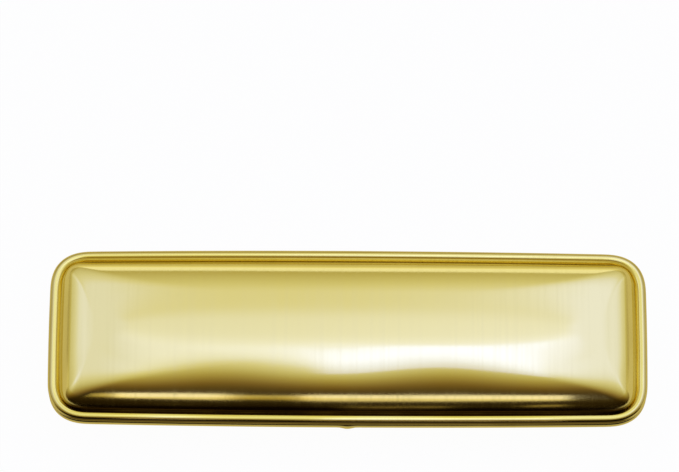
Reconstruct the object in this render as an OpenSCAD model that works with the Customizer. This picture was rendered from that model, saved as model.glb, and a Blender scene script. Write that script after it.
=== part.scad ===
// Slim pen case pressed from sheet brass. Two shells meet bead to bead, a collar inside the tray centres
// the lid, and two knuckle hinges sit in line with the tray's back bead, under the lid's.
// Millimetres. X runs along the case, -Y is the front, +Z is up and z = 0 is the resting face.

/* [Case] */
// Length over the beads
case_length = 168.6; // [120:0.2:220]
// Depth over the beads, front to back
case_depth = 51.2; // [46:0.2:80]
// Height of the parting plane above the table
parting_z = 10.75; // [10:0.25:14]
// Thickness of the pressed sheet
sheet = 0.5; // [0.4:0.05:0.6]

/* [Outline] */
// Distance from each corner at which the sides start to turn
corner_size = 12; // [9:0.5:16]
// Squareness of the corners, where 2 is a plain round
corner_power = 2.6; // [2:0.1:3.4]
// Distance inside the bead at which the dome's corners reach as far again across the case
corner_spread = 11; // [9:0.5:16]
// The same along the case, where the dome's corners draw out further
long_spread = 4; // [3.5:0.25:8]
// How far the long sides bow out between the corners
side_bow = 0.8; // [0:0.05:1.5]
// How far the short ends bow out between the corners
end_bow = 0.35; // [0:0.05:0.8]

/* [Rim] */
// Diameter of the rolled bead
bead_d = 2.8; // [2.3:0.1:3]
// Gap between the two beads with the lid closed
rim_gap = 0.3; // [0.25:0.05:0.6]
// How much of each bead is dressed flat where the two meet
bead_land = 0.05; // [0.02:0.01:0.1]

/* [Lid] */
// Slope of the lid at the foot of its dome
foot_tilt = 51; // [40:1:54]
// How quickly the dome flattens away from its foot
crown_power = 3.2; // [2.8:0.1:4.6]
// Distance inside the bead over which the dome loses the rim's bow and round corners
rim_fade = 2.6; // [2.4:0.1:6]

/* [Tray] */
// Distance over which the tray's wall rounds into its floor
floor_round = 10; // [7:0.5:12]
// Squareness of that rounding, where 2 is a plain ellipse
floor_power = 3; // [2.6:0.1:3.6]
// Length of the thumb swelling at the front of the tray's bead
thumb_length = 5.2; // [3:0.2:8]
// How far the thumb swelling stands out from the bead
thumb_proud = 0.3; // [0.1:0.05:0.5]

/* [Collar] */
// Thickness of the collar band
collar_t = 0.5; // [0.4:0.05:0.6]
// Height of the collar above the parting plane
collar_rise = 1.3; // [0.8:0.1:1.4]
// How far the collar's top leans in to guide the lid
collar_lean = 0.7; // [0.65:0.05:0.9]
// Depth of the collar below the tray's bead
collar_seat = 1.6; // [1:0.1:2.4]
// Film left for solder between pieces that are fixed together
solder_film = 0.1; // [0.06:0.02:0.16]

/* [Hinge] */
// Distance from each end of the case to the middle of the hinge next to it
hinge_inset = 33.8; // [26:0.2:48]
// Length of each hinge over its knuckles
hinge_length = 14; // [10:0.5:20]
// Length of the lid's knuckle, in the middle of each hinge
lid_knuckle = 5; // [3:0.5:8]
// Diameter of the hinge pins
pin_d = 1.2; // [1:0.1:1.3]
// Radial room for the lid's knuckles to turn on the pins
pin_play = 0.05; // [0.02:0.01:0.08]
// Radial room for solder between the pins and the tray's knuckles
pin_film = 0.02; // [0.01:0.01:0.04]
// Thickness of the hinge leaves
leaf_t = 0.45; // [0.35:0.05:0.5]
// Room between pieces of the hinge that move past each other
hinge_room = 0.3; // [0.2:0.05:0.5]
// Length of the lid leaf along the inside of the dome
lid_leaf_reach = 4.5; // [3:0.25:6]
// Drop of the tray leaf below the tray's bead
base_leaf_drop = 3; // [2:0.25:3.5]

/* [Hidden] */
$fn = 48;

brass = "#c9ad55";
brass_inside = "#b3953f";
brass_hinge = "#a98a3a";

// Segments of each stretch of the forms
side_steps = 5;
corner_steps = 8;
end_steps = 2;
dome_steps = 10;
wall_steps = 8;
bead_steps = 4;
leaf_steps = 3;
// Largest share of a ring's half length or half depth that a corner takes
corner_most = 0.8;
// How much the dome's rings crowd together towards its foot, where it bends most
dome_crowding = 1.4;
// The dome is closed by a flat strip along its ridge, so its last ring stops short of it
dome_end = 0.9;
// How far a cut runs past what it cuts
overcut = 1;

half_length = case_length / 2;
half_depth = case_depth / 2;
bead_r = bead_d / 2;
lid_bead_z = parting_z + rim_gap / 2 + bead_r;
base_bead_z = parting_z - rim_gap / 2 - bead_r;

// Each wall runs into its bead from inside, and the roll closes against the wall's outer face in a crease
roll_close = asin((bead_r - sheet) / bead_r);
lid_crease = foot_tilt - roll_close;
base_crease = 90 - roll_close;
crease_inset = bead_r + bead_r * cos(lid_crease);
crease_z = lid_bead_z + bead_r * sin(lid_crease);
wall_top = base_bead_z - bead_r * sin(base_crease);
dome_width = half_depth - crease_inset;
lid_rise = tan(foot_tilt) * dome_width / crown_power;

// Outline
// Every ring of the case is the rim's outline moved inwards by an inset. A ring has a share of the rim's bow
// and round corners, which is 1 across the bead and in the tray, and fades out in the dome of the lid.

function side_sag(x) = side_bow * pow(x / half_length, 2);
function end_sag(y) = end_bow * pow(y / half_depth, 2);
// The bow fades out towards the middle of the case
function bowed(x, y, share) = [
    x * (1 - share * end_sag(y) / half_length),
    y * (1 - share * side_sag(x) / half_depth)
];
function dome_rim_share(inset) = exp(-max(inset - bead_d, 0) / rim_fade);
// How far a corner reaches along or across the case, where half is what the ring has of it
function corner_at(inset, share, spread, half) = min(
    share * (corner_size - min(inset, bead_d)) + (1 - share) * pow(max(inset - bead_d, 0), 2) / spread,
    corner_most * half
);

// One quarter of a ring, from the middle of the right end to the middle of the back
function quarter(a, b, c, d, share) = concat(
    [for (i = [0:end_steps - 1]) bowed(a, (b - d) * i / end_steps, share)],
    [for (i = [0:corner_steps - 1]) let (t = 90 * i / corner_steps)
        bowed(a - c + c * pow(cos(t), 2 / corner_power), b - d + d * pow(sin(t), 2 / corner_power), share)],
    [for (i = [0:side_steps - 1]) bowed((a - c) * (1 - i / side_steps), b, share)],
    [bowed(0, b, share)]
);

// A whole ring at one height, counter-clockwise from above
function ring(inset, z, share = 1) =
    let (
        a = half_length - inset,
        b = half_depth - inset,
        c = corner_at(inset, share, long_spread, a),
        d = corner_at(inset, share, corner_spread, b),
        q = quarter(a, b, c, d, share),
        last = len(q) - 1
    )
    concat(
        [for (i = [0:last - 1]) [q[i].x, q[i].y, z]],
        [for (i = [last:-1:1]) [-q[i].x, q[i].y, z]],
        [for (i = [0:last - 1]) [-q[i].x, -q[i].y, z]],
        [for (i = [last:-1:1]) [q[i].x, -q[i].y, z]]
    );

// Section, as [inset, z] points

// Height and slope of the dome at a share of the way from its foot to the ridge
function dome_z(u) = crease_z + lid_rise * (1 - pow(1 - u, crown_power));
function dome_tilt(u) = atan(tan(foot_tilt) * pow(1 - u, crown_power - 1));
function dome_outside(u) = [crease_inset + dome_width * u, dome_z(u)];
function dome_below(u, drop) = dome_outside(u) + drop * [sin(dome_tilt(u)), -cos(dome_tilt(u))];
function dome_share(i) = dome_end * pow(i / dome_steps, dome_crowding);

// Points round a bead from one angle up to, but not at, another. 180 faces out and 90 faces up.
function bead_at(z, t) = [bead_r + bead_r * cos(t), z + bead_r * sin(t)];
function bead_arc(z, from, to, steps) = [for (i = [0:steps - 1]) bead_at(z, from + (to - from) * i / steps)];
function bead_outside(z) = concat(bead_arc(z, 90, 180, bead_steps), bead_arc(z, 180, 270, bead_steps));

lid_section = concat(
    [for (i = [dome_steps:-1:1]) dome_outside(dome_share(i))],
    bead_arc(lid_bead_z, lid_crease, 90, bead_steps),
    bead_outside(lid_bead_z),
    bead_arc(lid_bead_z, 270, 270 + foot_tilt, bead_steps / 2),
    [bead_at(lid_bead_z, 270 + foot_tilt)],
    [for (i = [0:dome_steps]) dome_below(dome_share(i), sheet)]
);

// The tray's wall at a turn from 0 under the bead to 90 at the floor
function wall_outside(t) = [
    bead_d - sheet + floor_round * (1 - pow(cos(t), 2 / floor_power)),
    wall_top * (1 - pow(sin(t), 2 / floor_power))
];
function wall_inside(t) = [
    bead_d + (floor_round - sheet) * (1 - pow(cos(t), 2 / floor_power)),
    sheet + (wall_top - sheet) * (1 - pow(sin(t), 2 / floor_power))
];
// Inset of the wall's inner face at a height
function wall_inset(z) =
    let (share = (wall_top - z) / (wall_top - sheet))
    bead_d + (floor_round - sheet) * (1 - pow(1 - pow(share, floor_power), 1 / floor_power));

base_section = concat(
    [for (i = [wall_steps:-1:0]) wall_inside(90 * i / wall_steps)],
    bead_arc(base_bead_z, 0, 90, bead_steps),
    bead_outside(base_bead_z),
    bead_arc(base_bead_z, 270, 360 - base_crease, bead_steps / 2),
    [for (i = [0:wall_steps]) wall_outside(90 * i / wall_steps)]
);

// A shell through rings that start and end in the middle of the case, where fans close it
module shell(rings) {
    n = len(rings[0]);
    m = len(rings);
    // Each fan spreads from the two ends of the case's ridge
    ridge = half_length - half_depth;
    top = rings[0][0].z;
    below = rings[m - 1][0].z;
    hubs = [[-ridge, 0, top], [ridge, 0, top], [-ridge, 0, below], [ridge, 0, below]];
    polyhedron(
        points = concat([for (r = rings) each r], hubs),
        faces = concat(
            fan(0, n, m * n, m * n + 1),
            [for (i = [0:m - 2]) for (j = [0:n - 1]) each band(i, i + 1, j, n)],
            [for (f = fan((m - 1) * n, n, m * n + 2, m * n + 3)) [f[2], f[1], f[0]]]
        )
    );
}

// Triangles that close a ring about a left and a right hub, clockwise from above
function fan(first, n, left, right) = concat(
    [for (j = [0:n - 1]) [first + (j + 1) % n, first + j, j < n / 4 || j >= n * 3 / 4 ? right : left]],
    [[left, first + n / 4, right], [right, first + n * 3 / 4, left]]
);

// A closed band through the rings of a section that comes back to its start
module hoop(section) {
    rings = [for (p = section) ring(p[0], p[1])];
    n = len(rings[0]);
    m = len(rings);
    polyhedron(
        points = [for (r = rings) each r],
        faces = [for (i = [0:m - 1]) for (j = [0:n - 1]) each band(i, (i + 1) % m, j, n)]
    );
}

// The two triangles between neighbouring points of two rings
function band(i, k, j, n) =
    let (next = (j + 1) % n)
    [[i * n + j, i * n + next, k * n + next], [i * n + j, k * n + next, k * n + j]];

// Hinge
// The pins lie on the middle of the tray's back bead, where its bow stands furthest out, so that the lid's
// round bead rolls about the tray's as the lid swings.

pin_r = pin_d / 2;
knuckle_r = pin_r + pin_play + leaf_t;
hinge_y = half_depth - bead_r;
hinge_z = base_bead_z;
hinge_mid = half_length - hinge_inset;
// How far the back's bow has fallen at the outer end of a hinge
hinge_sag = side_sag(hinge_mid + hinge_length / 2);
base_knuckle = (hinge_length - lid_knuckle) / 2 - hinge_room;
// Places across the case are given as insets from the back edge at a hinge
function back_y(inset) = half_depth - inset - hinge_sag;
function at_back(p) = [back_y(p[0]), p[1]];

// The tray leaf stands inside the wall, clear of it at its foot
base_leaf_foot = wall_top - base_leaf_drop;
base_leaf_inset = wall_inset(base_leaf_foot) + solder_film;
// The lid leaf passes under the lid's bead and lies along the inside of the dome
lid_leaf_stop = lid_leaf_reach / dome_width;
lid_seat = sheet + solder_film;
// Inset at which the line of the dome's foot, at a distance below it, comes down to a height
function flank_inset(drop, z) =
    let (foot = dome_below(0, drop))
    foot[0] - (foot[1] - z) / tan(foot_tilt);

// Collar, clear of the wall at its foot and of the hinges at its ends
collar_foot = wall_top - collar_seat;
collar_top = parting_z + collar_rise;
collar_inset = wall_inset(collar_foot) + solder_film;
collar_break = hinge_length + 4 * hinge_room;

// A section in the Y-Z plane drawn out along X about a middle
module along_x(length) {
    translate([-length / 2, 0, 0]) rotate([90, 0, 90]) linear_extrude(length) children();
}

module knuckle(length) {
    translate([-length / 2, hinge_y, hinge_z]) rotate([0, 90, 0]) cylinder(h = length, r = knuckle_r);
}

module pin_bore(radius) {
    translate([-hinge_length / 2 - overcut, hinge_y, hinge_z]) rotate([0, 90, 0])
        cylinder(h = hinge_length + 2 * overcut, r = radius);
}

// Sub-parts

module base_shell() {
    color(brass) difference() {
        union() {
            shell([for (p = base_section) ring(p[0], p[1])]);
            thumb_swelling();
        }
        for (side = [-1, 1]) translate([side * hinge_mid, 0, 0]) hinge_notch();
        parting_slab();
    }
}

// The slice along the parting plane that dresses both beads flat
module parting_slab() {
    height = rim_gap + 2 * bead_land;
    translate([-half_length - overcut, -half_depth - overcut, parting_z - height / 2])
        cube([case_length + 2 * overcut, case_depth + 2 * overcut, height]);
}

// The swelling is a stout spindle that lies in the bead, a little out and down from its middle
module thumb_swelling() {
    half = thumb_length / 2;
    // Radius of the arc through the spindle's ends, where it is thumb_proud slimmer than in the middle
    arc_r = (half * half + pow(2 * thumb_proud, 2)) / (4 * thumb_proud);
    translate([0, bead_r - half_depth - thumb_proud, base_bead_z - thumb_proud])
        rotate([0, 90, 0]) rotate_extrude()
            intersection() {
                translate([bead_r - arc_r, 0]) circle(r = arc_r);
                translate([0, -half]) square([bead_r, thumb_length]);
            }
}

// The space that a hinge takes out of the tray's back bead and wall
module hinge_notch() {
    low = base_bead_z - bead_r - hinge_room / 2;
    translate([-hinge_length / 2 - hinge_room, back_y(base_leaf_inset), low])
        cube([hinge_length + 2 * hinge_room, base_leaf_inset + hinge_sag + overcut, parting_z - low]);
}

// The collar is one band round the front and ends, which stops at the hinges
module collar() {
    color(brass_inside) difference() {
        collar_hoop();
        back_of_collar(2 * hinge_mid + collar_break);
    }
}

// A shorter band carries the collar on between the hinges
module back_collar() {
    color(brass_inside) intersection() {
        collar_hoop();
        back_of_collar(2 * hinge_mid - collar_break);
    }
}

// Upright against the tray's wall, then leaning in above the tray's bead
module collar_hoop() {
    bend_z = parting_z - rim_gap / 2;
    hoop([
        [collar_inset + collar_lean + collar_t, collar_top],
        [collar_inset + collar_lean, collar_top],
        [collar_inset, bend_z],
        [collar_inset, collar_foot],
        [collar_inset + collar_t, collar_foot],
        [collar_inset + collar_t, bend_z]
    ]);
}

// A block round the middle of the collar's back
module back_of_collar(length) {
    translate([-length / 2, half_depth / 2, collar_foot - overcut])
        cube([length, half_depth, collar_top - collar_foot + 2 * overcut]);
}

module lid_shell() {
    color(brass) difference() {
        shell([for (p = lid_section) ring(p[0], p[1], dome_rim_share(p[0]))]);
        parting_slab();
    }
}

module base_leaf() {
    shelf_low = hinge_z - knuckle_r;
    back = back_y(base_leaf_inset);
    color(brass_hinge) difference() {
        union() {
            for (side = [-1, 1])
                translate([side * (hinge_length - base_knuckle) / 2, 0, 0]) {
                    knuckle(base_knuckle);
                    along_x(base_knuckle) translate([back - leaf_t, shelf_low])
                        square([hinge_y - back + leaf_t, leaf_t]);
                }
            along_x(hinge_length) translate([back - leaf_t, base_leaf_foot])
                square([leaf_t, shelf_low + leaf_t - base_leaf_foot]);
        }
        pin_bore(pin_r + pin_film);
    }
}

module lid_leaf() {
    top = hinge_z + knuckle_r;
    under = top - leaf_t;
    step = lid_leaf_stop / leaf_steps;
    upper = [for (i = [0:leaf_steps]) at_back(dome_below(step * i, lid_seat))];
    lower = [for (i = [leaf_steps:-1:0]) at_back(dome_below(step * i, lid_seat + leaf_t))];
    color(brass_hinge) difference() {
        union() {
            knuckle(lid_knuckle);
            along_x(lid_knuckle) polygon([
                [hinge_y, under],
                [hinge_y, top],
                [back_y(flank_inset(lid_seat, top)), top],
                upper[0],
                lower[leaf_steps],
                [back_y(flank_inset(lid_seat + leaf_t, under)), under]
            ]);
            along_x(hinge_length) polygon(concat(upper, lower));
        }
        pin_bore(pin_r + pin_play);
    }
}

module hinge_pin() {
    color(brass_hinge) translate([-hinge_length / 2, hinge_y, hinge_z]) rotate([0, 90, 0])
        cylinder(h = hinge_length, r = pin_r);
}

module at_hinge(side) {
    translate([side * hinge_mid, 0, 0]) children();
}

base_shell();
collar();
back_collar();
lid_shell();
at_hinge(-1) base_leaf();  // left_base_leaf
at_hinge(1) base_leaf();  // right_base_leaf
at_hinge(-1) lid_leaf();  // left_lid_leaf
at_hinge(1) lid_leaf();  // right_lid_leaf
at_hinge(-1) hinge_pin();  // left_hinge_pin
at_hinge(1) hinge_pin();  // right_hinge_pin
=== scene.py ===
"""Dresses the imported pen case: pressed shells in satin brass, its collar and hinges, and a plain studio."""

from __future__ import annotations

import logging
import math
from dataclasses import dataclass, field
from enum import Enum
from typing import Any, Callable, Iterable, Sequence

import bmesh
import bpy
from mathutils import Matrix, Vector


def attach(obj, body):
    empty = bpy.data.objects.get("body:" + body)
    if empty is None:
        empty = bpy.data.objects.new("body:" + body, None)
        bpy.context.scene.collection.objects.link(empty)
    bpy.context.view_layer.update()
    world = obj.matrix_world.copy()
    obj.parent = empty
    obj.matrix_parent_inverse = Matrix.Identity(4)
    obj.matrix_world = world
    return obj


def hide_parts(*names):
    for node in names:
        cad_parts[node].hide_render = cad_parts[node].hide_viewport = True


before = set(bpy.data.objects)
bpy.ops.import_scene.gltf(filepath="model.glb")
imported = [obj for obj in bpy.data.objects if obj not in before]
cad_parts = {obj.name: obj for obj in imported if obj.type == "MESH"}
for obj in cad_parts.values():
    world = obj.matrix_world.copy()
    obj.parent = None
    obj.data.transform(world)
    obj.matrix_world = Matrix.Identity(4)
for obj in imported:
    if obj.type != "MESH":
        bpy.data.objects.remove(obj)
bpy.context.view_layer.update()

LOG = logging.getLogger("pen_case")
MM = 0.001
Colour = tuple[float, float, float]
Ring = list[Vector]


class Body(Enum):
    """The two bodies of the case."""

    TRAY = "tray"
    LID = "lid"


class Side(Enum):
    """The two hinges, by the sign of X."""

    LEFT = -1
    RIGHT = 1


# Forms


@dataclass(frozen=True)
class Steps:
    """How finely a quarter of a ring is divided.

    Attributes:
        end: Segments of the straight half of an end.
        corner: Segments of a corner.
        side: Segments of half a long side.
        crowding: How much the segments of a side crowd together towards its middle.
    """

    end: int = 6
    corner: int = 18
    side: int = 40
    crowding: float = 1.35


@dataclass(frozen=True)
class Outline:
    """The plan of the case, from which every ring is moved in.

    Attributes:
        half_length: Half of the length over the beads.
        half_depth: Half of the depth over the beads.
        corner_size: Distance from a corner at which the sides start to turn.
        corner_power: Squareness of the corners.
        corner_spread: Distance inside the bead at which a corner of the dome reaches as far again across
            the case.
        long_spread: The same along the case.
        corner_most: Largest share of a ring's half length or half depth that a corner takes.
        side_bow: How far the long sides bow out.
        end_bow: How far the ends bow out.
        bead_d: Diameter of the bead.
        rim_fade: Distance inside the bead over which the dome loses the rim's bow and round corners.
    """

    half_length: float = 84.3 * MM
    half_depth: float = 25.6 * MM
    corner_size: float = 12.0 * MM
    corner_power: float = 2.6
    corner_spread: float = 11.0 * MM
    long_spread: float = 4.0 * MM
    corner_most: float = 0.8
    side_bow: float = 0.8 * MM
    end_bow: float = 0.35 * MM
    bead_d: float = 2.8 * MM
    rim_fade: float = 2.6 * MM

    def dome_share(self, inset: float) -> float:
        """Share of the rim's bow and round corners that a ring of the dome keeps."""
        return math.exp(-max(inset - self.bead_d, 0.0) / self.rim_fade)

    def bowed(self, x: float, y: float, share: float) -> tuple[float, float]:
        """A point of the plan after a share of the bow of the sides and ends."""
        end_sag = share * self.end_bow * (y / self.half_depth) ** 2
        side_sag = share * self.side_bow * (x / self.half_length) ** 2
        return x * (1 - end_sag / self.half_length), y * (1 - side_sag / self.half_depth)

    def corner_at(self, inset: float, share: float, spread: float, half: float) -> float:
        """How far the corners of a ring reach along or across the case.

        Args:
            inset: Distance inside the outline.
            share: Share of the rim's bow and round corners.
            spread: Distance inside the bead at which they reach as far again.
            half: Half of the ring's length or depth.

        Returns:
            The reach.
        """
        inside = max(inset - self.bead_d, 0.0)
        reach = share * (self.corner_size - min(inset, self.bead_d)) + (1 - share) * inside * inside / spread
        return min(reach, self.corner_most * half)

    def quarter(self, inset: float, share: float, steps: Steps) -> list[tuple[float, float]]:
        """One quarter of a ring, from the middle of the right end to the middle of the back.

        Args:
            inset: Distance inside the outline.
            share: Share of the rim's bow and round corners.
            steps: How finely the quarter is divided.

        Returns:
            The points of the quarter in plan.
        """
        a, b = self.half_length - inset, self.half_depth - inset
        c = self.corner_at(inset, share, self.long_spread, a)
        d = self.corner_at(inset, share, self.corner_spread, b)
        points = [self.bowed(a, (b - d) * i / steps.end, share) for i in range(steps.end)]
        for i in range(steps.corner):
            turn = 0.5 * math.pi * i / steps.corner
            across = a - c + c * math.cos(turn) ** (2 / self.corner_power)
            back = b - d + d * math.sin(turn) ** (2 / self.corner_power)
            points.append(self.bowed(across, back, share))
        for i in range(steps.side + 1):
            points.append(self.bowed((a - c) * (1 - i / steps.side) ** steps.crowding, b, share))
        return points

    def ring(self, inset: float, z: float, share: float, steps: Steps) -> Ring:
        """A whole ring at one height, counter-clockwise from above.

        Args:
            inset: Distance inside the outline.
            z: Height of the ring.
            share: Share of the rim's bow and round corners.
            steps: How finely each quarter is divided.

        Returns:
            The points of the ring.
        """
        q = self.quarter(inset, share, steps)
        back = q[:-1] + [(-x, y) for x, y in q[:0:-1]]
        return [Vector((x, y, z)) for x, y in back + [(-x, -y) for x, y in back]]


@dataclass(frozen=True)
class SectionPoint:
    """One point of a shell's section.

    Attributes:
        inset: Distance inside the outline.
        z: Height.
        tone: How far the brass is darkened there, from -0.5, a painted highlight, to 2, the deepest painted
            shade; partly its own toning, partly painted shade and painted highlight.
        crease: Whether the skin breaks sharply there.
        front_shade: Painted shade: how much further it is darkened along the front, standing in for the
            darker reflections there.
    """

    inset: float
    z: float
    tone: float = 0.0
    crease: bool = False
    front_shade: float = 0.0


def held(value: float) -> float:
    """A value held to 0 and 1."""
    return min(max(value, 0.0), 1.0)


@dataclass(frozen=True)
class Rise:
    """An amount that comes in between two values, eased at both ends.

    Attributes:
        amount: What it adds once it is full.
        low: Where it starts.
        high: Where it is full, which may lie below the start.
    """

    amount: float
    low: float
    high: float

    def at(self, value: float) -> float:
        """What it adds at a value."""
        share = held((value - self.low) / (self.high - self.low))
        return self.amount * (0.5 - 0.5 * math.cos(share * math.pi))

    def on(self, wire: Wire) -> Wire:
        """What it adds at the value of a shader socket."""
        return self.amount * wire.span(self.low, self.high)


@dataclass(frozen=True)
class ToneAndShading:
    """How far the brass is darkened along a section: partly its own toning, partly painted shade and painted
    highlight.

    Attributes:
        least: Tone before the first rise.
        tones: Rises of the tone all round, painted shade and painted highlight among them.
        front_shades: Further painted shade along the front.
    """

    least: float
    tones: tuple[Rise, ...]
    front_shades: tuple[Rise, ...] = ()

    def at(self, value: float) -> tuple[float, float]:
        """Tone and front shade at a place of the section."""
        tone = self.least + math.fsum(rise.at(value) for rise in self.tones)
        return tone, math.fsum(rise.at(value) for rise in self.front_shades)


class Skin:
    """A mesh drawn through closed rings of points, one extrusion after another."""

    def __init__(self, front_shading: Callable[[Vector], float]) -> None:
        """Starts with an empty mesh that carries the tone of the brass at each vertex, painted shade and
        painted highlight included.

        Args:
            front_shading: How much of the front's painted shade a place takes, from 0 to 1.
        """
        self.front_shading = front_shading
        self.mesh = bmesh.new()
        self.tone = self.mesh.verts.layers.float.new("tone")
        self.loop: list[bmesh.types.BMVert] = []

    def edges(self) -> list[bmesh.types.BMEdge]:
        """The edges round the newest ring."""
        return [self.mesh.edges.get((a, b)) for a, b in zip(self.loop, self.loop[1:] + self.loop[:1])]

    def grow(self, ring: Ring, point: SectionPoint) -> None:
        """Draws the skin on to one more ring.

        Args:
            ring: Places of the new ring's points.
            point: The section's point there, for its tone and crease.
        """
        if not self.loop:
            self.loop = [self.mesh.verts.new(place) for place in ring]
            for a, b in zip(self.loop, self.loop[1:] + self.loop[:1]):
                self.mesh.edges.new((a, b))
        else:
            made = bmesh.ops.extrude_edge_only(self.mesh, edges=self.edges())["geom"]
            fresh = {item for item in made if isinstance(item, bmesh.types.BMVert)}
            self.loop = [
                next(e.other_vert(v) for e in v.link_edges if e.other_vert(v) in fresh) for v in self.loop
            ]
            for vert, place in zip(self.loop, ring):
                vert.co = place
        for vert in self.loop:
            # Painted shade: the front is darkened further, standing in for the darker reflections there.
            vert[self.tone] = point.tone + point.front_shade * self.front_shading(vert.co)
        if point.crease:
            for edge in self.edges():
                edge.smooth = False

    def close(self) -> None:
        """Closes the first and the last ring and turns every face outwards."""
        open_edges = [edge for edge in self.mesh.edges if edge.is_boundary]
        caps = bmesh.ops.holes_fill(self.mesh, edges=open_edges, sides=0)["faces"]
        bmesh.ops.triangulate(self.mesh, faces=caps)
        bmesh.ops.recalc_face_normals(self.mesh, faces=self.mesh.faces[:])
        for face in self.mesh.faces:
            face.smooth = True

    def place(self, name: str) -> bpy.types.Object:
        """Turns the skin into an object of the scene.

        Args:
            name: Name of the piece.

        Returns:
            The new object, at the origin.
        """
        data = bpy.data.meshes.new(name)
        self.mesh.to_mesh(data)
        self.mesh.free()
        piece = bpy.data.objects.new(name, data)
        bpy.context.scene.collection.objects.link(piece)
        return piece


def cut_boxes(piece: bpy.types.Object, boxes: Iterable[tuple[Vector, Vector]], sharp: float) -> None:
    """Cuts boxes out of a piece and breaks the shading at the new corners.

    Args:
        piece: The piece to cut.
        boxes: Lowest and highest corners of the boxes.
        sharp: Angle between faces, in degrees, above which an edge is sharp.
    """
    for low, high in boxes:
        mesh = bmesh.new()
        bmesh.ops.create_cube(mesh, size=1.0)
        bmesh.ops.scale(mesh, vec=high - low, verts=mesh.verts[:])
        bmesh.ops.translate(mesh, vec=(low + high) / 2, verts=mesh.verts[:])
        data = bpy.data.meshes.new("cutter")
        mesh.to_mesh(data)
        mesh.free()
        cutter = bpy.data.objects.new("cutter", data)
        bpy.context.scene.collection.objects.link(cutter)
        modifier = piece.modifiers.new("cut", "BOOLEAN")
        modifier.operation = "DIFFERENCE"
        modifier.solver = "EXACT"
        modifier.object = cutter
        bpy.context.view_layer.update()
        shaped = bpy.data.meshes.new_from_object(piece.evaluated_get(bpy.context.evaluated_depsgraph_get()))
        piece.modifiers.clear()
        piece.data = shaped
        bpy.data.objects.remove(cutter)
    mesh = bmesh.new()
    mesh.from_mesh(piece.data)
    for face in mesh.faces:
        face.smooth = True
    for edge in mesh.edges:
        if len(edge.link_faces) == 2 and edge.calc_face_angle(0.0) > math.radians(sharp):
            edge.smooth = False
    mesh.to_mesh(piece.data)
    mesh.free()


# Shader maths


class Wire:
    """A shader socket that takes part in Python expressions."""

    def __init__(self, graph: Graph, socket: bpy.types.NodeSocket) -> None:
        """Wraps an output socket of a graph."""
        self.graph = graph
        self.socket = socket

    def maths(self, operation: str, a: Any, b: Any = 0.0) -> Wire:
        """Adds one Math node."""
        return self.graph.node("ShaderNodeMath", {"operation": operation}, {0: a, 1: b})

    def __add__(self, other: Any) -> Wire:
        """Sum."""
        return self.maths("ADD", self, other)

    __radd__ = __add__

    def __mul__(self, other: Any) -> Wire:
        """Product."""
        return self.maths("MULTIPLY", self, other)

    __rmul__ = __mul__

    def __sub__(self, other: Any) -> Wire:
        """Difference."""
        return self.maths("SUBTRACT", self, other)

    def __rsub__(self, other: Any) -> Wire:
        """Difference with the socket taken away."""
        return self.maths("SUBTRACT", other, self)

    def __truediv__(self, other: Any) -> Wire:
        """Quotient."""
        return self.maths("DIVIDE", self, other)

    def __pow__(self, other: Any) -> Wire:
        """Power."""
        return self.maths("POWER", self, other)

    def bell(self, middle: float, spread: float) -> Wire:
        """1 at a middle value, falling away on both sides."""
        return self.maths("POWER", math.e, -1.0 * ((self - middle) / spread) ** 2.0)

    def span(self, low: float, high: float) -> Wire:
        """The socket's place between two values, held to 0 and 1 and eased at both ends."""
        inputs = {"Value": self, "From Min": low, "From Max": high}
        return self.graph.node("ShaderNodeMapRange", {"interpolation_type": "SMOOTHSTEP"}, inputs)


class Graph:
    """A node tree that is being written."""

    MIX_A, MIX_B, MIX_RESULT = 6, 7, 2  # a Mix node's sockets for colours

    def __init__(self, tree: bpy.types.NodeTree) -> None:
        """Starts on an emptied tree."""
        self.tree = tree
        tree.nodes.clear()

    def node(
        self, kind: str, settings: dict[str, Any], inputs: dict[int | str, Any], output: int | str = 0
    ) -> Wire:
        """Adds a node.

        Args:
            kind: The node's type.
            settings: Its own properties, and "stops" for a ramp, set first.
            inputs: Values or wires for its sockets, by name or number.
            output: The socket to hand back.

        Returns:
            A wire from the chosen output.
        """
        made = self.tree.nodes.new(kind)
        for key, value in settings.items():
            if key == "stops":
                self.set_stops(made.color_ramp, value)
            else:
                setattr(made, key, value)
        for key, value in inputs.items():
            if isinstance(value, Wire):
                self.tree.links.new(value.socket, made.inputs[key])
            else:
                made.inputs[key].default_value = value
        return Wire(self, made.outputs[output]) if len(made.outputs) else Wire(self, made.inputs[0])

    @staticmethod
    def set_stops(ramp: bpy.types.ColorRamp, stops: Sequence[tuple[float, Colour]]) -> None:
        """Writes the stops of a ramp, from left to right."""
        while len(ramp.elements) < len(stops):
            ramp.elements.new(1.0)
        for element, (place, colour) in zip(ramp.elements, stops):
            element.position = place
            element.color = (*colour, 1.0)

    def mix(self, share: Any, a: Any, b: Any, blend: str = "MIX") -> Wire:
        """Mixes or otherwise blends two colours."""
        inputs = {0: share, self.MIX_A: self.full(a), self.MIX_B: self.full(b)}
        return self.node("ShaderNodeMix", {"data_type": "RGBA", "blend_type": blend}, inputs, self.MIX_RESULT)

    def noise(self, place: Wire, scale: float, detail: float, roughness: float = 0.5) -> Wire:
        """Adds a noise texture."""
        inputs = {"Vector": place, "Scale": scale, "Detail": detail, "Roughness": roughness}
        return self.node("ShaderNodeTexNoise", {}, inputs)

    @staticmethod
    def full(colour: Any) -> Any:
        """A colour with its alpha, or a wire as it is."""
        return colour if isinstance(colour, Wire) else (*colour, 1.0)


# Finishes


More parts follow.
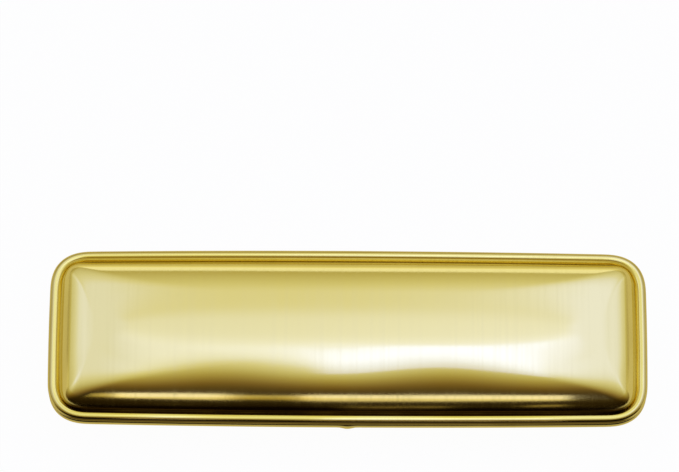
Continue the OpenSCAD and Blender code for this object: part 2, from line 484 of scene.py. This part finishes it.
@dataclass(frozen=True)
class SatinBrass:
    """Satin sheet brass, brushed in one direction and lightly toned, darkened by painted shade and brightened
    by painted highlight where a shell's tone says so.

    Attributes:
        name: Name of the material.
        ages: Colour of the brass by tone: golden below 0 for painted highlight, clean at 0, then dulled and
            darker brass for its toning and painted shade, near black at 2 for the deepest painted shade.
        streak: What the broad streaks of older brass multiply the colour by.
        streak_share: How strongly they do so.
        streak_zone: Where they come in, by the height of the broad lines.
        streak_mean: Their mean strength.
        edge: Tint of what the brass mirrors at a glancing angle.
        least_tone: How far it has toned all over.
        gloss: Roughness of the clean brass.
        gloss_spread: How far the streaks change the roughness.
        line_pitch: Distance between the brush lines.
        line_length: Length of the brush lines.
        line_depth: Depth of the brush lines.
        line_detail: Octaves of finer lines.
        line_roughness: How strong the finer lines are.
        broad_pitch: Distance between the broad lines, in pitches of the brush lines.
        broad_length: Length of the broad lines, in lengths of the brush lines.
        cloud_scale: Clouds of uneven tone to a metre.
        cloud_detail: Octaves of finer clouds.
        cloud_tone: Share of the tone between the clouds, and what they add to it.
        cloud_gloss: How far the clouds change the roughness.
        wave_pitch: Distance between the soft waves left by pressing.
        wave_depth: Depth of those waves.
        press_pitch: Distance between the longer waves along the front shoulder of the dome.
        press_shift: How far left of the middle a crest of those waves lies.
        press_zone: Where they come in, by distance in front of the middle.
        press_depth: Depth of those waves, or 0 for none.
    """

    name: str
    # Only painted highlight reaches below 0; the darkest stops serve mostly painted shade.
    ages: tuple[tuple[float, Colour], ...] = (
        (-0.5, (0.930, 0.780, 0.150)),
        (0.0, (0.900, 0.790, 0.300)),
        (0.3, (0.780, 0.640, 0.160)),
        (1.0, (0.520, 0.405, 0.100)),
        (2.0, (0.080, 0.048, 0.010)),
    )
    streak: Colour = (0.93, 0.90, 0.82)
    streak_share: float = 0.15
    streak_zone: Rise = Rise(1.0, 0.42, 0.72)
    streak_mean: float = 0.3
    edge: Colour = (0.88, 0.76, 0.45)
    least_tone: float = 0.0
    gloss: float = 0.13
    gloss_spread: float = 0.03
    line_pitch: float = 0.11 * MM
    line_length: float = 18.0 * MM
    line_depth: float = 0.0009 * MM
    line_detail: float = 2.0
    line_roughness: float = 0.55
    broad_pitch: float = 7.0
    broad_length: float = 2.2
    cloud_scale: float = 90.0
    cloud_detail: float = 3.0
    cloud_tone: tuple[float, float] = (0.85, 0.30)
    cloud_gloss: float = 0.03
    wave_pitch: float = 42.0 * MM
    wave_depth: float = 0.20 * MM
    press_pitch: float = 62.0 * MM
    press_shift: float = 5.0 * MM
    press_zone: Rise = Rise(0.5, 5.0 * MM, 18.5 * MM)
    press_depth: float = 0.0

    def lines(self, graph: Graph, place: Wire, pitch: float, length: float) -> Wire:
        """Streaks that run across the case.

        Args:
            graph: The graph to write to.
            place: Object coordinates.
            pitch: Distance between the streaks.
            length: Length of the streaks.

        Returns:
            The streaks' height, from 0 to 1.
        """
        stretch = {0: place, 1: (1 / pitch, 1 / length, 1 / length)}
        drawn = graph.node("ShaderNodeVectorMath", {"operation": "MULTIPLY"}, stretch)
        return graph.noise(drawn, 1.0, self.line_detail, self.line_roughness)

    def shoulder(self, graph: Graph, place: Wire) -> Wire:
        """The waves that pressing leaves along the front shoulder of the dome.

        Args:
            graph: The graph to write to.
            place: Object coordinates.

        Returns:
            Their height, from 0 to 1.
        """
        x, y = (graph.node("ShaderNodeSeparateXYZ", {}, {0: place}, axis) for axis in "XY")
        wave = x.maths("COSINE", (x + self.press_shift) * (2 * math.pi / self.press_pitch))
        return 0.5 + wave * self.press_zone.on(-1.0 * y)

    def bump(self, graph: Graph, height: Wire, depth: float, normal: Wire | None = None) -> Wire:
        """Turns a height into a normal.

        Args:
            graph: The graph to write to.
            height: Height from 0 to 1.
            depth: What a height of 1 stands for.
            normal: The normal below it.

        Returns:
            The new normal.
        """
        inputs: dict[int | str, Any] = {"Strength": 1.0, "Distance": depth, "Height": height}
        if normal is not None:
            inputs["Normal"] = normal
        return graph.node("ShaderNodeBump", {}, inputs)

    def material(self) -> bpy.types.Material:
        """Builds the finish as a material."""
        made = bpy.data.materials.new(self.name)
        made.use_nodes = True
        graph = Graph(made.node_tree)
        place = graph.node("ShaderNodeTexCoord", {}, {}, "Object")
        fine = self.lines(graph, place, self.line_pitch, self.line_length)
        pitch, length = self.broad_pitch * self.line_pitch, self.broad_length * self.line_length
        streaks = self.streak_zone.on(self.lines(graph, place, pitch, length))
        waves = graph.noise(place, 1 / self.wave_pitch, 0.0)
        cloud = graph.noise(place, self.cloud_scale, self.cloud_detail)
        # The tone attribute carries painted shade and painted highlight as well as the brass's toning.
        tone = self.least_tone + graph.node("ShaderNodeAttribute", {"attribute_name": "tone"}, {}, "Fac")
        first, span = self.ages[0][0], self.ages[-1][0] - self.ages[0][0]
        stops = [((darkness - first) / span, colour) for darkness, colour in self.ages]
        clouded = (tone * (self.cloud_tone[0] + self.cloud_tone[1] * cloud) - first) / span
        toned_and_shaded = graph.node("ShaderNodeValToRGB", {"stops": stops}, {0: clouded})
        drawn = graph.mix(streaks * self.streak_share, (1.0, 1.0, 1.0), self.streak)
        colour = graph.mix(1.0, toned_and_shaded, drawn, "MULTIPLY")
        uneven = self.gloss_spread * (streaks - self.streak_mean) + self.cloud_gloss * (cloud - 0.5)
        normal = self.bump(graph, waves, self.wave_depth)
        if self.press_depth > 0:
            normal = self.bump(graph, self.shoulder(graph, place), self.press_depth, normal)
        normal = self.bump(graph, fine, self.line_depth, normal)
        shader = graph.node(
            "ShaderNodeBsdfPrincipled",
            {},
            {
                "Base Color": colour,
                "Metallic": 1.0,
                "Roughness": self.gloss + uneven,
                "Specular Tint": (*self.edge, 1.0),
                "Normal": normal,
            },
        )
        graph.node("ShaderNodeOutputMaterial", {}, {"Surface": shader})
        return made


# The case


@dataclass(frozen=True)
class Rim:
    """The sizes that the lid and the tray share.

    Attributes:
        outline: The plan.
        steps: How finely the shells are divided.
        sheet: Thickness of the pressed sheet.
        parting_z: Height of the parting plane.
        gap: Gap between the beads of the closed case.
        bead_steps: Segments of a quarter of a bead.
        inside_tone: Tone of the inside of both shells.
        front_zone: Where the painted shade of the front starts, by distance in front of the middle.
        end_zone: How it leaves out the corners, by distance from the end.
    """

    outline: Outline = Outline()
    steps: Steps = Steps()
    sheet: float = 0.5 * MM
    parting_z: float = 10.75 * MM
    gap: float = 0.3 * MM
    bead_steps: int = 8
    inside_tone: float = 0.45
    front_zone: Rise = Rise(1.0, 16.0 * MM, 21.0 * MM)
    end_zone: Rise = Rise(1.0, 3.0 * MM, 9.0 * MM)

    @property
    def bead_r(self) -> float:
        """Radius of a bead."""
        return self.outline.bead_d / 2

    @property
    def roll_close(self) -> float:
        """Angle between a wall's foot and the place where the roll closes against it."""
        return math.asin((self.bead_r - self.sheet) / self.bead_r)

    def bead_at(
        self, z: float, turn: float, tone: float = 0.0, front_shade: float = 0.0, crease: bool = False
    ) -> SectionPoint:
        """A point of a bead's section, by its turn from the inner side."""
        inset = self.bead_r * (1 + math.cos(turn))
        return SectionPoint(inset, z + self.bead_r * math.sin(turn), tone, crease, front_shade)

    def front_shading(self, place: Vector) -> float:
        """How much of the front's painted shade a place takes: along the front, but not round the corners."""
        end = self.outline.half_length - abs(place.x)
        return self.front_zone.at(-place.y) * self.end_zone.at(end)

    def bead(self, z: float, start: float, stop: float, painted_shading: ToneAndShading) -> list[SectionPoint]:
        """Points round a bead from one turn to another, both given in degrees.

        Args:
            z: Height of the bead's middle.
            start: First turn.
            stop: Last turn.
            painted_shading: How far the bead is darkened or brightened, by its turn, painted shade and
                painted highlight included.

        Returns:
            The points, with both ends.
        """
        count = max(2, round(self.bead_steps * abs(stop - start) / 90))
        turns = [start + (stop - start) * i / count for i in range(count + 1)]
        return [self.bead_at(z, math.radians(turn), *painted_shading.at(turn)) for turn in turns]

    def skin(self, section: Sequence[SectionPoint], domed: bool) -> Skin:
        """Draws a skin through the rings of a section.

        Args:
            section: The section's points, in order.
            domed: Whether the rings lose the rim's bow and round corners inside the bead.

        Returns:
            The open skin.
        """
        skin = Skin(self.front_shading)
        for point in section:
            share = self.outline.dome_share(point.inset) if domed else 1.0
            skin.grow(self.outline.ring(point.inset, point.z, share, self.steps), point)
        return skin


@dataclass
class Lid:
    """The pressed lid: a pillow dome that runs down into a rolled bead.

    Attributes:
        rim: The sizes shared with the tray.
        finish: Its brass.
        foot_tilt: Slope at the foot of the dome, in degrees.
        crown_power: How quickly the dome flattens.
        dome_steps: Rings of the dome.
        dome_crowding: How much the rings crowd together towards the foot.
        dome_end: Share of the way to the ridge at which the top is flat.
        bead_shading: How far the bead is darkened, by its turn in degrees from the inner side: a painted
            highlight before the top, painted shade past it and on the outer side, and more along the front,
            standing in for its reflections.
        front_crease_shade: Painted shade: how much further the crease is darkened along the front.
        dome_shade: Painted shade of the dome round its foot, by distance from the crease, deeper along the
            front.
        dome_shade_fade: How that painted shade fades out away from the crease.
    """

    rim: Rim
    finish: SatinBrass
    foot_tilt: float = 51.0
    crown_power: float = 3.2
    dome_steps: int = 34
    dome_crowding: float = 1.5
    dome_end: float = 0.9
    # Painted highlight and painted shade on the bead, standing in for its reflections.
    bead_shading: ToneAndShading = ToneAndShading(
        0.0,
        (Rise(-0.45, 45.0, 70.0), Rise(1.45, 90.0, 114.0), Rise(1.0, 150.0, 200.0), Rise(-1.4, 205.0, 245.0)),
        (Rise(1.9, 68.0, 46.0), Rise(-0.9, 84.0, 104.0), Rise(2.1, 112.0, 134.0)),
    )
    # Painted shade in the crease along the front.
    front_crease_shade: float = 1.8
    # Painted shade round the foot of the dome.
    dome_shade: ToneAndShading = ToneAndShading(
        0.10,
        (Rise(0.80, 0.1 * MM, 0.6 * MM),),
        (Rise(0.3, 2.8 * MM, 2.2 * MM), Rise(1.0, 1.9 * MM, 1.1 * MM)),
    )
    dome_shade_fade: Rise = Rise(1.0, 3.9 * MM, 2.6 * MM)

    @property
    def bead_z(self) -> float:
        """Height of the middle of the bead."""
        return self.rim.parting_z + self.rim.gap / 2 + self.rim.bead_r

    @property
    def slope(self) -> float:
        """Slope of the dome at its foot."""
        return math.tan(math.radians(self.foot_tilt))

    @property
    def foot(self) -> SectionPoint:
        """The crease between the dome and the bead."""
        turn = math.radians(self.foot_tilt) - self.rim.roll_close
        # The crease takes the dome's painted shade, deeper along the front.
        return self.rim.bead_at(self.bead_z, turn, self.dome_shade.least, self.front_crease_shade, True)

    @property
    def width(self) -> float:
        """Distance from the crease to the ridge."""
        return self.rim.outline.half_depth - self.foot.inset

    def share(self, i: int) -> float:
        """Share of the way from the crease to the ridge at ring i."""
        return self.dome_end * (i / self.dome_steps) ** self.dome_crowding

    def dome(self, share: float, drop: float) -> SectionPoint:
        """A point of the dome.

        Args:
            share: Share of the way from the crease to the ridge.
            drop: Distance below the outer face.

        Returns:
            The point, darkened round the foot of the outer face by painted shade.
        """
        rise = self.slope * self.width / self.crown_power
        tilt = math.atan(self.slope * (1 - share) ** (self.crown_power - 1))
        z = self.foot.z + rise * (1 - (1 - share) ** self.crown_power)
        reach = self.width * share
        inset, z = self.foot.inset + reach + drop * math.sin(tilt), z - drop * math.cos(tilt)
        if drop > 0:
            return SectionPoint(inset, z, self.rim.inside_tone)
        # Painted shade round the foot, deeper along the front, fading out away from the crease.
        tone, front_shade = self.dome_shade.at(reach)
        return SectionPoint(inset, z, tone * self.dome_shade_fade.at(reach), False, front_shade)

    def section(self) -> list[SectionPoint]:
        """The lid's section, from the ridge out over the bead and back along the inside."""
        outside = [self.dome(self.share(i), 0.0) for i in range(self.dome_steps, 0, -1)]
        crease_turn = self.foot_tilt - math.degrees(self.rim.roll_close)
        bead = self.rim.bead(self.bead_z, crease_turn, 270.0 + self.foot_tilt, self.bead_shading)
        inside = [self.dome(self.share(i), self.rim.sheet) for i in range(self.dome_steps + 1)]
        return outside + [self.foot] + bead[1:] + inside

    def build(self) -> list[bpy.types.Object]:
        """Makes the lid and dresses it.

        Returns:
            The pieces made.
        """
        skin = self.rim.skin(self.section(), True)
        skin.close()
        piece = skin.place("lid_skin")
        piece.data.materials.append(self.finish.material())
        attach(piece, Body.LID.value)
        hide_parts("lid_shell")
        return [piece]


@dataclass
class Tray:
    """The pressed tray under the lid, with its thumb swelling and the notches for the hinges.

    Attributes:
        rim: The sizes shared with the lid.
        finish: Its brass.
        floor_round: Distance over which the wall rounds into the floor.
        floor_power: Squareness of that rounding.
        wall_steps: Rings of the wall.
        floor_steps: Rings of the floor.
        floor_end: Share of the half depth at which the middle of the floor is closed.
        bead_shading: How far the bead is darkened, by its turn in degrees from the inner side: its toning,
            with painted shade on its top, under the lid's bead.
        outside_tone: Tone of the outside of the wall and the floor.
        thumb_half: Half of the length of the thumb swelling.
        thumb_proud: How far the swelling stands out and down.
        notch_half: Half of the length of a hinge notch.
        notch_low: Height of a notch's floor.
        notch_y: Where a notch starts.
        notch_past: How far a notch's box reaches past the bead.
        notch_sharp: Angle between faces, in degrees, above which an edge of the cut tray is sharp.
        hinge_mid: Distance of each hinge from the middle.
    """

    rim: Rim
    finish: SatinBrass
    floor_round: float = 10.0 * MM
    floor_power: float = 3.0
    wall_steps: int = 26
    floor_steps: int = 4
    floor_end: float = 0.9
    # Painted shade on the top of the bead, where it lies under the lid's bead.
    bead_shading: ToneAndShading = ToneAndShading(0.6, (Rise(1.4, 85.0, 120.0), Rise(-1.0, 120.0, 165.0)))
    outside_tone: float = 0.30
    thumb_half: float = 2.6 * MM
    thumb_proud: float = 0.3 * MM
    notch_half: float = 7.3 * MM
    notch_low: float = 7.65 * MM
    notch_y: float = 22.13 * MM
    notch_past: float = 1.0 * MM
    notch_sharp: float = 32.0
    hinge_mid: float = 50.5 * MM

    @property
    def bead_z(self) -> float:
        """Height of the middle of the bead."""
        return self.rim.parting_z - self.rim.gap / 2 - self.rim.bead_r

    @property
    def crease(self) -> float:
        """Turn below the horizontal at which the roll closes against the wall."""
        return 0.5 * math.pi - self.rim.roll_close

    @property
    def wall_top(self) -> float:
        """Height of the crease."""
        return self.bead_z - self.rim.bead_r * math.sin(self.crease)

    def wall(self, share: float, drop: float) -> SectionPoint:
        """A point of the wall.

        Args:
            share: Share of the turn from the crease to the floor.
            drop: Distance inside the outer face.

        Returns:
            The point, toned on the inside.
        """
        turn = 0.5 * math.pi * share
        across = 1 - max(math.cos(turn), 0.0) ** (2 / self.floor_power)
        down = 1 - math.sin(turn) ** (2 / self.floor_power)
        inset = self.rim.outline.bead_d - self.rim.sheet + drop + (self.floor_round - drop) * across
        tone = self.rim.inside_tone if drop else self.outside_tone
        return SectionPoint(inset, drop + (self.wall_top - drop) * down, tone)

    def floor(self, drop: float) -> list[SectionPoint]:
        """Rings of the floor, from the middle to the wall."""
        edge = self.wall(1.0, drop)
        middle = self.floor_end * self.rim.outline.half_depth
        return [
            SectionPoint(middle + (edge.inset - middle) * i / self.floor_steps, edge.z, edge.tone)
            for i in range(self.floor_steps)
        ]

    def section(self) -> list[SectionPoint]:
        """The tray's section, from the middle of the floor over the bead and back underneath."""
        shares = [i / self.wall_steps for i in range(self.wall_steps + 1)]
        sheet = self.rim.sheet
        inside = self.floor(sheet) + [self.wall(share, sheet) for share in reversed(shares)]
        bead = self.rim.bead(self.bead_z, 0.0, 360.0 - math.degrees(self.crease), self.bead_shading)
        foot = self.rim.bead_at(self.bead_z, -self.crease, self.bead_shading.least, crease=True)
        outside = [self.wall(share, 0.0) for share in shares[1:]] + self.floor(0.0)[::-1]
        return inside + bead[:-1] + [foot] + outside

    def swell(self, skin: Skin) -> None:
        """Draws the front bead out and down at its middle, for the thumb.

        Args:
            skin: The tray's skin.
        """
        front = self.rim.bead_r * 2 - self.rim.outline.half_depth
        bead_top = self.rim.parting_z - self.rim.gap / 2
        for vert in skin.mesh.verts:
            near = 1 - (vert.co.x / self.thumb_half) ** 2
            if near > 0 and vert.co.y < front and vert.co.z > self.wall_top:
                outer = held((front - vert.co.y) / self.rim.bead_r)
                low = held((bead_top - vert.co.z) / self.rim.bead_r)
                reach = self.thumb_proud * near * near * outer * low
                vert.co += Vector((0.0, -reach, -reach))

    def notches(self) -> list[tuple[Vector, Vector]]:
        """The boxes that the hinges take out of the back bead."""
        top, back = self.rim.parting_z, self.rim.outline.half_depth + self.notch_past
        return [
            (
                Vector((side.value * self.hinge_mid - self.notch_half, self.notch_y, self.notch_low)),
                Vector((side.value * self.hinge_mid + self.notch_half, back, top)),
            )
            for side in Side
        ]

    def build(self) -> list[bpy.types.Object]:
        """Makes the tray and dresses it.

        Returns:
            The pieces made.
        """
        skin = self.rim.skin(self.section(), False)
        self.swell(skin)
        skin.close()
        piece = skin.place("tray_skin")
        cut_boxes(piece, self.notches(), self.notch_sharp)
        piece.data.materials.append(self.finish.material())
        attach(piece, Body.TRAY.value)
        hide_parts("base_shell")
        return [piece]


@dataclass
class Fittings:
    """The collar bands, hinge leaves and pins, whose solids already have their shape.

    Attributes:
        collar: Brass of the collar.
        hinge: Brass of the hinges.
    """

    collar: SatinBrass
    hinge: SatinBrass

    def build(self) -> list[bpy.types.Object]:
        """Dresses the nodes.

        Returns:
            The nodes dressed.
        """
        names = {"collar": self.collar, "back_collar": self.collar}
        for side in Side:
            for part in ("base_leaf", "lid_leaf", "hinge_pin"):
                names[f"{side.name.lower()}_{part}"] = self.hinge
        made = {finish.name: finish.material() for finish in (self.collar, self.hinge)}
        for name, finish in names.items():
            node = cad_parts[name]
            node.data.materials.clear()
            node.data.materials.append(made[finish.name])
        return [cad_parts[name] for name in names]


# The studio


@dataclass(frozen=True)
class Softbox:
    """A flat lamp that faces the case.

    Attributes:
        name: Name of the lamp.
        glow: Brightness of its face in red, green and blue, where 1 is white.
        width: Size along X.
        height: Size the other way.
        lean: Angle from straight up, in degrees, towards the front.
        distance: Distance from the case.
        shift: How far along X it stands.
    """

    name: str
    glow: Colour
    width: float
    height: float
    lean: float
    distance: float
    shift: float = 0.0

    def build(self, target: Vector) -> bpy.types.Object:
        """Hangs the lamp.

        Args:
            target: What it faces.

        Returns:
            The lamp.
        """
        top = max(self.glow)
        data = bpy.data.lights.new(self.name, "AREA")
        data.shape = "RECTANGLE"
        data.size, data.size_y = self.width, self.height
        data.color = [part / top for part in self.glow]
        data.energy = top * math.pi * self.width * self.height
        lean = math.radians(self.lean)
        lamp = bpy.data.objects.new(self.name, data)
        below = target + Vector((self.shift, 0.0, 0.0))
        lamp.location = below + self.distance * Vector((0.0, -math.sin(lean), math.cos(lean)))
        lamp.rotation_euler = (below - lamp.location).to_track_quat("-Z", "Y").to_euler()
        lamp.visible_camera = False
        bpy.context.scene.collection.objects.link(lamp)
        return lamp


@dataclass(frozen=True)
class Sky:
    """The level of the soft dome of light in each direction.

    Attributes:
        front: Level in front.
        back: What it gains towards the back.
        height_share: How much height counts as lying to the back.
        horizon: Share of the level that is left at the horizon.
        climb: What that share gains with height, up to the whole.
        left: Share of the level on the left.
        right: What that share gains on the right.
        left_wing: Extra light low on the left.
        right_wing: Extra light low on the right.
        seam: How much dimmer a seam is that runs up from the back.
        seam_x: Middle and spread of the seam.
        shine: Extra level of a bright patch overhead.
        shine_x: Middle and spread of the patch along the case.
        shine_y: Middle and spread of the patch across it.
        axis_x: Middle and spread of the tinted stripe over the middle of the case.
    """

    front: float = 0.05
    back: Rise = Rise(0.95, -0.62, 0.62)
    height_share: float = 0.56
    horizon: float = 0.61
    climb: float = 0.55
    left: float = 0.83
    right: Rise = Rise(0.10, -0.12, 0.12)
    left_wing: Rise = Rise(0.33, 0.59, 0.98)
    right_wing: Rise = Rise(0.27, 0.70, 0.98)
    seam: Rise = Rise(0.11, 0.20, 0.45)
    seam_x: tuple[float, float] = (-0.01, 0.07)
    shine: float = 0.17
    shine_x: tuple[float, float] = (0.02, 0.12)
    shine_y: tuple[float, float] = (0.10, 0.21)
    axis_x: tuple[float, float] = (0.0, 0.08)

    def level(self, x: Wire, y: Wire, z: Wire) -> Wire:
        """The level in a direction.

        Args:
            x: The direction's share to the right.
            y: Its share to the back.
            z: Its share upwards.

        Returns:
            The level.
        """
        overhead = self.front + self.back.on(y + self.height_share * z)
        horizon = z.maths("MINIMUM", 1.0, self.horizon + self.climb * z)
        sides = self.left + self.right.on(x)
        wings = 1.0 + self.right_wing.on(x) + self.left_wing.on(-1.0 * x)
        seam = 1.0 - self.seam.on(y) * x.bell(*self.seam_x)
        shine = self.shine * x.bell(*self.shine_x) * y.bell(*self.shine_y)
        return overhead * horizon * sides * wings * seam + shine


@dataclass
class Studio:
    """A pale floor, soft light from above and behind, and the camera.

    Attributes:
        elevation: Height of the view above the horizon, in degrees.
        distance: Distance from the camera to the case.
        scale: Pixels to a metre at the case.
        frame_px: Size of the picture.
        centre_px: Where the middle of the case falls in the picture.
        target: The middle of the case.
        sensor: Width of the camera's sensor, in millimetres.
        nearest: Distance from which the camera sees.
        sky: Level of the dome of light in each direction.
        dome_tints: Glow of the dome at each level, from dim and warm to bright and cool.
        axis_tint: Tint of the dome over the middle of the case.
        floor_half: Half of the size of the floor.
        floor_grey: Colour of the floor where it is lit.
        floor_white: Share of plain white in what is seen of the floor.
        softboxes: The lamps.
    """

    elevation: float = 72.0
    distance: float = 1.30
    scale: float = 3549.0
    frame_px: tuple[int, int] = (679, 472)
    centre_px: tuple[float, float] = (348.4, 337.3)
    target: Vector = field(default_factory=lambda: Vector((0.0, 0.0, 12.1 * MM)))
    sensor: float = 36.0
    nearest: float = 0.05
    sky: Sky = Sky()
    dome_tints: tuple[tuple[float, Colour], ...] = (
        (0.00, (0.00, 0.00, 0.00)),
        (0.20, (0.20, 0.13, 0.05)),
        (0.40, (0.40, 0.33, 0.16)),
        (0.50, (0.50, 0.45, 0.27)),
        (0.60, (0.60, 0.57, 0.44)),
        (0.70, (0.70, 0.69, 0.62)),
        (0.78, (0.78, 0.79, 0.88)),
        (0.84, (0.84, 0.89, 1.40)),
        (0.94, (0.94, 1.02, 1.95)),
        (1.05, (1.05, 1.17, 2.72)),
        (1.15, (1.12, 1.27, 3.30)),
    )
    axis_tint: Colour = (1.0, 0.97, 0.75)
    floor_half: float = 20.0
    floor_grey: float = 0.82
    floor_white: float = 0.97
    softboxes: tuple[Softbox, ...] = (
        Softbox("overhead_box", (0.14, 0.22, 1.30), 0.115, 0.325, 4.0, 0.6, 0.034),
        Softbox("front_strip", (1.08, 1.02, 1.20), 0.27, 0.20, 63.2, 1.2, 0.040),
        Softbox("left_strip", (0.50, 0.40, 0.15), 0.12, 0.14, 63.5, 1.2, -0.13),
        Softbox("low_strip", (0.70, 0.60, 0.40), 0.12, 0.06, 77.0, 1.2, 0.10),
    )

    def camera(self) -> None:
        """Sets the camera at the photo's angle, aimed so that the case falls where it does there."""
        rise = math.radians(self.elevation)
        back = Vector((0.0, math.cos(rise), -math.sin(rise)))
        up = Vector((0.0, math.sin(rise), math.cos(rise)))
        data = bpy.data.cameras.new("camera")
        data.sensor_width = self.sensor
        data.lens = self.scale * self.distance * data.sensor_width / self.frame_px[0]
        data.clip_start = self.nearest
        off = (self.centre_px[0] - self.frame_px[0] / 2, self.centre_px[1] - self.frame_px[1] / 2)
        aim = self.target + Vector((-off[0] / self.scale, 0.0, 0.0)) + up * (off[1] / self.scale)
        view = bpy.data.objects.new("camera", data)
        view.location = self.target - back * self.distance
        view.rotation_euler = (aim - view.location).to_track_quat("-Z", "Y").to_euler()
        bpy.context.scene.collection.objects.link(view)
        bpy.context.scene.camera = view

    def light(self) -> None:
        """Lights the case from a soft dome, brighter above and behind than in front, and the softboxes."""
        world = bpy.data.worlds.new("studio")
        world.use_nodes = True
        bpy.context.scene.world = world
        graph = Graph(world.node_tree)
        way = graph.node("ShaderNodeTexCoord", {}, {}, "Generated")
        x, y, z = (graph.node("ShaderNodeSeparateXYZ", {}, {0: way}, axis) for axis in "XYZ")
        top, full = self.dome_tints[-1][0], max(self.dome_tints[-1][1])
        stops = [(place / top, tuple(part / full for part in glow)) for place, glow in self.dome_tints]
        dome = graph.node("ShaderNodeValToRGB", {"stops": stops}, {0: self.sky.level(x, y, z) / top})
        warm = graph.mix(x.bell(*self.sky.axis_x), dome, self.axis_tint, "MULTIPLY")
        glow = graph.node("ShaderNodeBackground", {}, {"Color": warm, "Strength": full})
        graph.node("ShaderNodeOutputWorld", {}, {"Surface": glow})
        for softbox in self.softboxes:
            softbox.build(self.target)

    def floor(self) -> None:
        """Lays a pale floor that keeps the shadow of the case."""
        mesh = bmesh.new()
        bmesh.ops.create_grid(mesh, x_segments=1, y_segments=1, size=self.floor_half)
        data = bpy.data.meshes.new("floor")
        mesh.to_mesh(data)
        mesh.free()
        floor = bpy.data.objects.new("floor", data)
        bpy.context.scene.collection.objects.link(floor)
        made = bpy.data.materials.new("pale_floor")
        made.use_nodes = True
        graph = Graph(made.node_tree)
        camera = graph.node("ShaderNodeLightPath", {}, {}, "Is Camera Ray")
        glossy = graph.node("ShaderNodeLightPath", {}, {}, "Is Glossy Ray")
        clear = graph.node("ShaderNodeLightPath", {}, {}, "Is Transmission Ray")
        seen = camera.maths("MAXIMUM", camera, glossy.maths("MAXIMUM", glossy, clear))
        grey = graph.full((self.floor_grey,) * 3)
        matt = graph.node("ShaderNodeBsdfDiffuse", {}, {"Color": grey})
        white = graph.node("ShaderNodeEmission", {}, {"Color": (1.0, 1.0, 1.0, 1.0), "Strength": 1.0})
        shown = graph.node("ShaderNodeMixShader", {}, {0: seen * self.floor_white, 1: matt, 2: white})
        graph.node("ShaderNodeOutputMaterial", {}, {"Surface": shown})
        floor.data.materials.append(made)

    def build(self) -> None:
        """Sets up the camera, the light and the floor."""
        bpy.context.scene.view_settings.view_transform = "Standard"
        self.camera()
        self.light()
        self.floor()


def main() -> None:
    """Builds the case piece by piece and sets it in the studio."""
    logging.basicConfig(level=logging.INFO, format="%(name)s: %(message)s")
    rim = Rim()
    assemblies = (
        Lid(rim, SatinBrass("lid_brass", press_depth=0.95 * MM)),
        Tray(rim, SatinBrass("tray_brass")),
        Fittings(
            SatinBrass("collar_brass", gloss=0.26, line_depth=0.002 * MM),
            SatinBrass("hinge_brass", least_tone=0.6, gloss=0.28, line_depth=0.002 * MM),
        ),
    )
    Studio().build()
    for assembly in assemblies:
        for piece in assembly.build():
            LOG.info("%s: %d faces", piece.name, len(piece.data.polygons))


if __name__ == "__main__":
    main()
